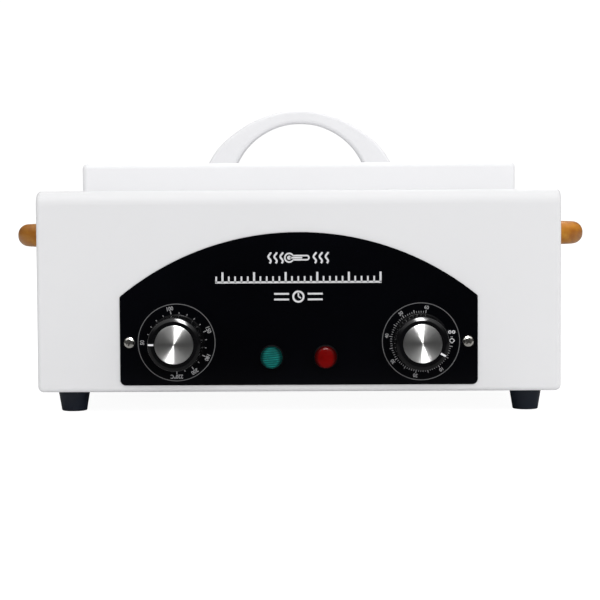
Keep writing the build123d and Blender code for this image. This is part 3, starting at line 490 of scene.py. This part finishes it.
def band(shape, sections, closed=False):
    """Join four-cornered sections, in millimetres, into a loop or a capped bar."""
    rows = [[shape.verts.new((x * MM, y * MM, z * MM)) for x, y, z in section]
            for section in sections]
    following = rows[1:] + rows[:1] if closed else rows[1:]
    for near, far in zip(rows, following):
        for k in range(4):
            shape.faces.new((near[k], near[(k + 1) % 4], far[(k + 1) % 4], far[k]))
    if not closed:
        shape.faces.new(rows[0])
        shape.faces.new(rows[-1][::-1])


def polar(centre, radius, angle):
    """Point (x, z) at an angle in degrees, anticlockwise from +X as seen from the front."""
    turn = math.radians(angle)
    return centre[0] + radius * math.cos(turn), centre[1] + radius * math.sin(turn)


def box_centre(part):
    """Centre (x, z) of a part, in millimetres."""
    low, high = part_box(part)
    return (low.x + high.x) / 2 / MM, (low.z + high.z) / 2 / MM


# ---------------------------------------------------------------- printed panel
PANEL_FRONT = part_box("control_panel")[0].y / MM
INK_PROUD, INK_SUNK = 0.05, 0.02          # ink in front of the plate face and behind it
INK_FRONT, INK_BACK = PANEL_FRONT - INK_PROUD, PANEL_FRONT + INK_SUNK
INK_DEPTH = INK_PROUD + INK_SUNK
DIALS = {"temperature": box_centre("temperature_knob"), "timer": box_centre("timer_knob")}
TEMPERATURE, TIMER = DIALS["temperature"], DIALS["timer"]
TICK_START = 17.35


def print_on_panel(name, mesh, material):
    return link(name, mesh, material, ROOT)


def print_prisms(name, outlines, material):
    """Thin prisms from closed (x, z) outlines."""
    shape = bmesh.new()
    for outline in outlines:
        after = outline[1:] + outline[:1]
        if sum(x0 * z1 - x1 * z0 for (x0, z0), (x1, z1) in zip(outline, after)) < 0:
            outline = outline[::-1]
        front = [shape.verts.new((x * MM, INK_FRONT * MM, z * MM)) for x, z in outline]
        back = [shape.verts.new((x * MM, INK_BACK * MM, z * MM)) for x, z in outline]
        shape.faces.new(front)
        shape.faces.new(back[::-1])
        count = len(outline)
        for i in range(count):
            j = (i + 1) % count
            shape.faces.new((front[i], back[i], back[j], front[j]))
    print_on_panel(name, to_mesh(name, shape), material)


def print_ring(name, centre, inner, outer, material, segments):
    sections = []
    for i in range(segments):
        (x0, z0), (x1, z1) = (polar(centre, r, 360.0 * i / segments) for r in (inner, outer))
        sections.append([(x0, INK_FRONT, z0), (x1, INK_FRONT, z1),
                         (x1, INK_BACK, z1), (x0, INK_BACK, z0)])
    shape = bmesh.new()
    band(shape, sections, closed=True)
    print_on_panel(name, to_mesh(name, shape), material)


def print_ribbons(name, strips, material):
    """Bands of constant width along lines; each strip is (points, width)."""
    shape = bmesh.new()
    for points, width in strips:
        sections = []
        last = len(points) - 1
        for i, (x, z) in enumerate(points):
            x0, z0 = points[max(0, i - 1)]
            x1, z1 = points[min(last, i + 1)]
            length = math.hypot(x1 - x0, z1 - z0)
            side_x, side_z = -(z1 - z0) / length * width / 2, (x1 - x0) / length * width / 2
            sections.append([(x + side_x, INK_FRONT, z + side_z),
                             (x - side_x, INK_FRONT, z - side_z),
                             (x - side_x, INK_BACK, z - side_z),
                             (x + side_x, INK_BACK, z + side_z)])
        band(shape, sections)
    print_on_panel(name, to_mesh(name, shape), material)


def tick(centre, inner, outer, angle, width):
    """Outline of a radial bar on a dial."""
    turn = math.radians(angle)
    c, s = math.cos(turn), math.sin(turn)
    half = width / 2
    corners = ((inner, -half), (outer, -half), (outer, half), (inner, half))
    return [(centre[0] + r * c - k * s, centre[1] + r * s + k * c) for r, k in corners]


def segment(start, end, width):
    """Outline of a straight bar between two points."""
    (x0, z0), (x1, z1) = start, end
    length = math.hypot(x1 - x0, z1 - z0)
    side_x = -(z1 - z0) / length * width / 2
    side_z = (x1 - x0) / length * width / 2
    return [(x0 - side_x, z0 - side_z), (x1 - side_x, z1 - side_z),
            (x1 + side_x, z1 + side_z), (x0 + side_x, z0 + side_z)]


def numeral(name, text, place, size, angle, squeeze):
    """A dial figure as a solid mesh; angle turns it in the panel's plane, 0 is upright."""
    curve = bpy.data.curves.new(name, "FONT")
    curve.body = text
    curve.size = size * MM
    curve.align_x = "CENTER"
    curve.align_y = "CENTER"
    curve.extrude = INK_DEPTH * MM / 2
    curve.offset = 0.07 * MM              # thickens the strokes
    curve.resolution_u = 4
    text_object = bpy.data.objects.new(name + "_tmp", curve)
    scene.collection.objects.link(text_object)
    bpy.context.view_layer.update()
    graph = bpy.context.evaluated_depsgraph_get()
    mesh = bpy.data.meshes.new_from_object(text_object.evaluated_get(graph))
    bpy.data.objects.remove(text_object)
    bpy.data.curves.remove(curve)
    mesh.name = name
    # centre the ink itself, not the text line
    xs = [v.co.x for v in mesh.vertices]
    ys = [v.co.y for v in mesh.vertices]
    middle = (-(min(xs) + max(xs)) / 2, -(min(ys) + max(ys)) / 2, 0)
    mesh.transform(Matrix.Translation(middle))
    mesh.transform(Matrix.Diagonal((squeeze, 1, 1, 1)))
    mesh.transform(Matrix.Rotation(math.radians(angle), 4, "Z"))
    mesh.transform(Matrix.Rotation(math.radians(90), 4, "X"))
    x, z = place
    mesh.transform(Matrix.Translation((x * MM, (INK_FRONT + INK_DEPTH / 2) * MM, z * MM)))
    shape = bmesh.new()
    shape.from_mesh(mesh)
    bmesh.ops.remove_doubles(shape, verts=shape.verts, dist=1e-7)
    shape.to_mesh(mesh)
    shape.free()
    return print_on_panel(name, mesh, "ink_grey")


def print_figures(name, figures, centre, radius, size, squeeze):
    """One object from figures (name, text, angle) that stand with their feet to the centre."""
    pieces = [numeral(piece, text, polar(centre, radius, angle), size, angle - 90, squeeze)
              for piece, text, angle in figures]
    shape = bmesh.new()
    for piece in pieces:
        shape.from_mesh(piece.data)
    mesh = to_mesh(name, shape, recalc=False)
    for piece in pieces:
        bpy.data.objects.remove(piece)
    print_on_panel(name, mesh, "ink_grey")


def temperature_angle(degrees):
    """50 stands at nine o'clock; clockwise to 220 at six o'clock."""
    return 180 - (degrees - 50) * (270.0 / 170.0)


def timer_angle(minutes):
    """0 stands just past three o'clock; clockwise at 4.5 degrees a minute."""
    return -9.5 - 4.5 * minutes


def temperature_scale():
    labelled = (100, 150, 180, 200, 220)
    minor = [t for t in range(60, 221, 10) if t not in labelled]
    for suffix, marks, end, width in (("minor", minor, 18.35, 0.42),
                                      ("major", labelled, 19.15, 0.55)):
        print_prisms("temperature_ticks_" + suffix,
                     [tick(TEMPERATURE, TICK_START, end, temperature_angle(t), width)
                      for t in marks], "ink_grey")
    figures = [("fig_t%d" % t, "220°C" if t == 220 else str(t), temperature_angle(t))
               for t in (50, *labelled)]
    print_figures("temperature_figures", figures, TEMPERATURE, radius=20.75, size=3.35,
                  squeeze=0.88)


def timer_scale():
    minutes = [k for k in range(61) if k % 5]
    for suffix, marks, end, width in (("minute", minutes, 18.5, 0.30),
                                      ("five", range(0, 61, 5), 19.3, 0.42)):
        print_prisms("timer_ticks_" + suffix,
                     [tick(TIMER, TICK_START, end, timer_angle(k), width) for k in marks],
                     "ink_grey")
    figures = [("fig_m%d" % k, str(k), timer_angle(k)) for k in range(10, 61, 10)]
    print_figures("timer_figures", figures, TIMER, radius=20.85, size=2.9, squeeze=0.95)


def timer_off_mark():
    """A small open diamond between two short dashes."""
    x, z = polar(TIMER, 18.6, 1.2)
    half = 1.55
    corners = [(x - half, z), (x, z + half), (x + half, z), (x, z - half), (x - half, z)]
    print_prisms("timer_off_mark",
                 [segment(start, end, width=0.5) for start, end in zip(corners, corners[1:])],
                 "ink_white")
    print_prisms("timer_off_dashes", [tick(TIMER, 17.9, 19.3, angle, width=0.4)
                                      for angle in (-3.6, 8.3)], "ink_grey")


def timer_hold_mark():
    """A pair of small rings side by side."""
    x, z = polar(TIMER, 19.3, 16.8)
    for name, shift in (("timer_hold_ring", -1.15), ("timer_hold_ring_2", 1.15)):
        print_ring(name, (x + shift, z), inner=0.45, outer=1.05, material="ink_white",
                   segments=28)


def pictograms():
    """Three rows of marks down the middle: thermometer and heat waves, scale, clock."""
    middle = box_centre("control_panel")[0]
    top, centre, bottom = 93.9, 82.1, 70.5            # heights of the rows
    bulb_x = -5.4
    strips = []

    def mark(row, width, points):
        """Points are (x, z) from the middle of the row."""
        strips.append(([(middle + x, row + z) for x, z in points], width))

    def arc(x, radius, start, end, steps):
        return [polar((x, 0.0), radius, start + (end - start) * i / steps)
                for i in range(steps + 1)]

    for x in (-17.2, -13.6, -10.0, 10.0, 13.6, 17.2):
        mark(top, 1.15, [(x + 0.75 * math.sin(2 * math.pi * i / 16), -3.3 + 6.6 * i / 20)
                         for i in range(21)])
    # thermometer: tube, bulb and the column inside
    mark(top, 0.95, [(-3.2, 1.25), (4.6, 1.25), *arc(5.2, 1.25, 90, -90, 12),
                     (4.6, -1.25), (-3.2, -1.25)])
    mark(top, 0.95, arc(bulb_x, 2.6, 30, 330, 36))
    mark(top, 1.0, [(-5.0, 0), (-1.0, 0), (2.4, 0)])

    # long graduated scale
    count = 27
    for k in range(count):
        x = -49.4 + 98.8 * k / (count - 1)
        height, width = (6.2, 1.25) if k % 5 == 1 else (3.7, 1.0)
        mark(centre, width, [(x, -3.0), (x, -3.0 + height / 2), (x, -3.0 + height)])
    mark(centre, 1.2, [(-50.0, -2.9), (0, -2.9), (50.0, -2.9)])

    # clock and its hands, with a pair of bars on either side
    mark(bottom, 1.15, arc(0, 3.1, 90, 449, 48))
    mark(bottom, 0.85, [(0, 0), (0, 1.2), (0, 2.2)])
    mark(bottom, 0.85, [(0, 0), (0.8, -0.45), (1.6, -0.9)])
    start, length = 5.6, 9.0
    for side in (-1, 1):
        for z in (1.7, -1.7):
            mark(bottom, 1.1, [(side * (start + length * share), z) for share in (0, 0.5, 1)])

    print_ribbons("panel_pictograms", strips, "ink_white")
    print_ring("pictogram_bulb_dot", (middle + bulb_x, top), inner=0.02, outer=1.25,
               material="ink_white", segments=36)


for dial, dial_centre in DIALS.items():
    print_ring(dial + "_dial_ring", dial_centre, inner=22.98, outer=23.47,
               material="ink_ring", segments=192)
temperature_scale()
timer_scale()
timer_off_mark()
timer_hold_mark()
pictograms()

# ---------------------------------------------------------------- knob pointers
KNOB_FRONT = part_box("temperature_knob")[0].y / MM
EDGE_RADIUS, EDGE_START = 1.6, 14.35      # rounded outer edge of the knob's front ring


def pointer(dial, inner, angle):
    """A painted mark that runs out over the ring's rounded edge."""
    name = dial + "_pointer"
    outer, half, steps = 15.5, 1.1 / 2, 12
    front, back = -0.06, 0.04             # paint in front of the ring surface and behind it
    turn = math.radians(angle)
    c, s = math.cos(turn), math.sin(turn)
    x, z = DIALS[dial]
    sections = []
    for i in range(steps + 1):
        r = inner + (outer - inner) * i / steps
        beyond = max(0.0, r - EDGE_START)
        y = KNOB_FRONT + EDGE_RADIUS - math.sqrt(EDGE_RADIUS ** 2 - beyond ** 2)
        sections.append([(x + r * c - k * s, y + lift, z + r * s + k * c) for k, lift in
                         ((-half, front), (half, front), (half, back), (-half, back))])
    shape = bmesh.new()
    band(shape, sections)
    link(name, to_mesh(name, shape), "ink_pointer", dial + "_control")


pointer("temperature", inner=12.15, angle=180)
pointer("timer", inner=12.0, angle=-28.5)


# ---------------------------------------------------------------- turned pieces
def lathe(name, centre, profile, body, slot, segments, ripple=None):
    """A piece turned about an axis parallel to Y, with its origin on the axis.
    The profile is (radius, y) from the front centre outwards; ripple(x, z) is added to y."""
    shape = bmesh.new()
    rows = []
    for r, y in profile:
        if r < 1e-6:
            rows.append([shape.verts.new((0, y * MM, 0))])
        else:
            turns = [2 * math.pi * i / segments for i in range(segments)]
            rows.append([shape.verts.new((r * MM * math.cos(a), y * MM, r * MM * math.sin(a)))
                         for a in turns])
    if ripple:
        for vert in shape.verts:
            vert.co.y += ripple(vert.co.x / MM, vert.co.z / MM) * MM
    for near, far in zip(rows[:-1], rows[1:]):
        for i in range(segments):
            j = (i + 1) % segments
            if len(near) == 1:
                shape.faces.new((near[0], far[i], far[j]))
            elif len(far) == 1:
                shape.faces.new((near[i], far[0], near[j]))
            else:
                shape.faces.new((near[i], far[i], far[j], near[j]))
    for face in shape.faces:
        face.smooth = True
    return link(name, to_mesh(name, shape), slot, body,
                location=(centre[0] * MM, 0, centre[1] * MM))


def knob_caps():
    low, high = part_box("temperature_knob_cap")
    front, back = low.y / MM, high.y / MM
    profile = [(0, front + 0.02), (2, front + 0.02), (6, front + 0.01), (10.8, front),
               (11.2, front), (11.42, front + 0.08), (11.5, front + 0.25),
               (11.5, back - 0.05), (11.4, back), (0, back)]
    for dial, centre in DIALS.items():
        cap = lathe(dial + "_knob_cap_spun", centre, profile, dial + "_control",
                    "spun_aluminium", segments=160)
        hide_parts(dial + "_knob_cap")


CROWN_RADIUS = 5.2


def ridges(x, z):
    """Waves across the lens crown that die out towards its edge."""
    fade = max(0.0, min(1.0, (CROWN_RADIUS - math.hypot(x, z)) / 0.7))
    return 0.16 * fade * math.sin(2 * math.pi * (z - RIDGE_SLANT * x) / RIDGE_PITCH)


def lamp_lenses():
    """A ridged green lens and a smooth red one."""
    low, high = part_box("green_lamp_lens")
    rim = (high.x - low.x) / 2 / MM
    front = low.y / MM
    back = PANEL_FRONT - 1.32             # back of the lens rim, on the bezel
    height = box_centre("green_lamp_lens")[1]
    crown = [(CROWN_RADIUS * i / 24, 0.62 * (CROWN_RADIUS * i / 24 / CROWN_RADIUS) ** 2.4)
             for i in range(25)]
    # (radius, distance behind the crown) round the shoulder
    shoulder = [(5.45, 0.80), (5.7, 1.05), (5.95, 1.40), (6.18, 1.85), (6.36, 2.4),
                (rim - 0.12, 3.0), (rim - 0.03, 3.8), (rim, 4.6)]
    profile = [(r, front + y) for r, y in crown + shoulder]
    profile += [(rim, back - 0.4), (rim - 0.1, back), (0, back)]
    for colour, ripple in (("green", ridges), ("red", None)):
        part = colour + "_lamp_lens"
        turned = lathe(part + "_turned", (box_centre(part)[0], height), profile, ROOT,
                       colour + "_lens", segments=120, ripple=ripple)
        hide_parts(part)


knob_caps()
lamp_lenses()


# ---------------------------------------------------------------- floor
def floor_material():
    mat = Mat("studio_floor", rough=0.8, spec=0.05)
    rays = mat.add("ShaderNodeLightPath")
    seen = rays["Is Camera Ray"]
    y = mat.xyz(mat.add("ShaderNodeNewGeometry")["Position"])[1]
    # reflections of the floor in front of the cabinet fade into the dim studio
    near = mat.map_range(y, from_min=-0.36, from_max=-0.18, to_min=0.012, to_max=0.38)
    pale = mat.mix(mat.noise(scale=3.0, detail=2.0), (0.80, 0.80, 0.805), (0.82, 0.82, 0.825))
    reflected = mat.add("ShaderNodeCombineColor", near, near, near)[0]
    other = mat.mix(rays["Is Glossy Ray"], pale, reflected)
    return mat.put(base=mat.mix(seen, other, (0.20, 0.20, 0.202)), emit=(1.0, 1.0, 1.0),
                   emit_s=mat.times(seen, 0.95))


def build_floor():
    half = 30.0
    shape = bmesh.new()
    shape.faces.new([shape.verts.new((x * half, y * half, 0))
                     for x, y in ((-1, -1), (1, -1), (1, 1), (-1, 1))])
    floor = bpy.data.objects.new("floor", to_mesh("floor", shape, recalc=False))
    scene.collection.objects.link(floor)
    floor.data.materials.append(floor_material())


build_floor()

# ---------------------------------------------------------------- world
# diffuse light: an even base, plus what is added from the front, from above and from the right
ENV_BASE, ENV_FRONT, ENV_TOP, ENV_RIGHT = 0.42, 0.59, 0.42, 0.11
BACKDROP_LEVEL = 1.06                     # white seen directly by the camera
# brightness that shiny surfaces see, (height from 0 straight down to 1 straight up, colour):
# a dim room at eye level under a broad bright ceiling
GLOSS_SKY = ((0.44, (0.50, 0.50, 0.51)), (0.50, (0.06,) * 3), (0.62, (0.05,) * 3),
             (0.72, (0.12,) * 3), (0.80, (0.85,) * 3), (1.0, (1.5,) * 3))


def build_world():
    world = bpy.data.worlds.new("studio")
    scene.world = world
    world.use_nodes = True
    world.node_tree.nodes.clear()
    sky = Nodes(world.node_tree)
    rays = sky.add("ShaderNodeLightPath")
    x, y, z = sky.xyz(sky.add("ShaderNodeTexCoord")["Generated"])

    front = sky.math("MAXIMUM", sky.times(y, -1.0), 0.0)
    level = sky.vary(front, low=ENV_BASE, span=ENV_FRONT)
    level = sky.vary(sky.math("MAXIMUM", z, 0.0), low=level, span=ENV_TOP)
    level = sky.vary(x, low=level, span=ENV_RIGHT)
    height = sky.map_range(z, from_min=-1, from_max=1, to_min=0, to_max=1)

    def background(colour, strength):
        return sky.add("ShaderNodeBackground", Color=colour, Strength=strength)[0]

    diffuse = background((1.0, 1.0, 1.004), level)
    glossy = background(sky.ramp(height, *GLOSS_SKY), 1.0)
    backdrop = background((1, 1, 1), BACKDROP_LEVEL)
    unseen = sky.add("ShaderNodeMixShader", rays["Is Glossy Ray"], diffuse, glossy)[0]
    shown = sky.add("ShaderNodeMixShader", rays["Is Camera Ray"], unseen, backdrop)[0]
    sky.add("ShaderNodeOutputWorld", shown)


build_world()


# ---------------------------------------------------------------- lights
def area(name, place, target, width, height, watts, glossy=True, diffuse=True):
    light = bpy.data.lights.new(name, "AREA")
    light.shape = "RECTANGLE"
    light.size, light.size_y = width, height
    light.energy = watts
    obj = bpy.data.objects.new(name, light)
    obj.location = place
    aim = Vector(target) - Vector(place)
    obj.rotation_euler = aim.to_track_quat("-Z", "Y").to_euler()
    obj.visible_glossy = glossy
    obj.visible_diffuse = diffuse
    scene.collection.objects.link(obj)
    return obj


def light_only(light, collection_name, receivers):
    """Let a light fall on the given objects only."""
    lit = bpy.data.collections.new(collection_name)
    for obj in receivers:
        lit.objects.link(obj)
    light.light_linking.receiver_collection = lit


area("key_top", place=(0.0, -0.50, 1.35), target=(0, -0.05, 0.1), width=0.95, height=0.55,
     watts=2.6, glossy=False)
area("fill_front", place=(1.4, -2.4, 0.9), target=(0, 0, 0.1), width=2.2, height=1.2,
     watts=12.0, glossy=False)
area("rim_back", place=(0.3, 1.8, 1.6), target=(0, 0.1, 0.1), width=1.4, height=0.8, watts=9.0)
# a narrow softbox over the front, seen only in shiny surfaces
strip = area("gloss_strip", place=(0.015, -0.30, 0.50), target=(0.0, -0.15, 0.04), width=0.22,
             height=0.50, watts=8.5, diffuse=False)
turned_names = ("temperature_knob_cap_spun", "timer_knob_cap_spun", "red_lamp_lens_turned")
light_only(strip, "strip_lit",
           [parts["panel_screws"], *(bpy.data.objects[name] for name in turned_names)])
# the same for the two black knobs, a little smaller
glint = area("knob_glint", place=(0.04, -0.30, 0.50), target=(0.0, -0.15, 0.04), width=0.15,
             height=0.42, watts=13.0, diffuse=False)
light_only(glint, "knobs_lit", [parts["temperature_knob"], parts["timer_knob"]])
# a soft light from above that falls on the side handles only
handle_top = area("handle_top", place=(0.34, -0.06, 0.85), target=(0.05, 0, 0.07), width=0.45,
                  height=0.35, watts=5.6, glossy=False)
light_only(handle_top, "amber_lit", [parts["left_side_handle"], parts["right_side_handle"]])

# ---------------------------------------------------------------- camera
FOCAL_LENGTH, SENSOR_WIDTH = 104.82, 36.0
CAMERA_X, CAMERA_Z = 0.0145, 0.1238
CAMERA_DISTANCE = 1.050                   # in front of the outer shell
YAW, PITCH, ROLL = -0.74, 3.02, -0.32     # degrees: to the right, downwards, about the view


def build_camera():
    lens_data = bpy.data.cameras.new("camera")
    lens_data.sensor_width = SENSOR_WIDTH
    lens_data.sensor_fit = "HORIZONTAL"
    lens_data.lens = FOCAL_LENGTH
    lens_data.clip_start, lens_data.clip_end = 0.05, 100.0
    camera = bpy.data.objects.new("camera", lens_data)
    scene.collection.objects.link(camera)
    yaw, pitch, roll = (math.radians(angle) for angle in (YAW, PITCH, ROLL))
    forward = Vector((math.sin(yaw) * math.cos(pitch), math.cos(yaw) * math.cos(pitch),
                      -math.sin(pitch)))
    level_right = Vector((math.cos(yaw), -math.sin(yaw), 0))
    level_up = level_right.cross(forward)
    right = math.cos(roll) * level_right + math.sin(roll) * level_up
    up = -math.sin(roll) * level_right + math.cos(roll) * level_up
    place = Vector((CAMERA_X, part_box("outer_shell")[0].y - CAMERA_DISTANCE, CAMERA_Z))
    rows = [(right[k], up[k], -forward[k], place[k]) for k in range(3)]
    camera.matrix_world = Matrix((*rows, (0, 0, 0, 1)))
    scene.camera = camera


build_camera()
scene.view_settings.view_transform = "Standard"
scene.view_settings.look = "None"
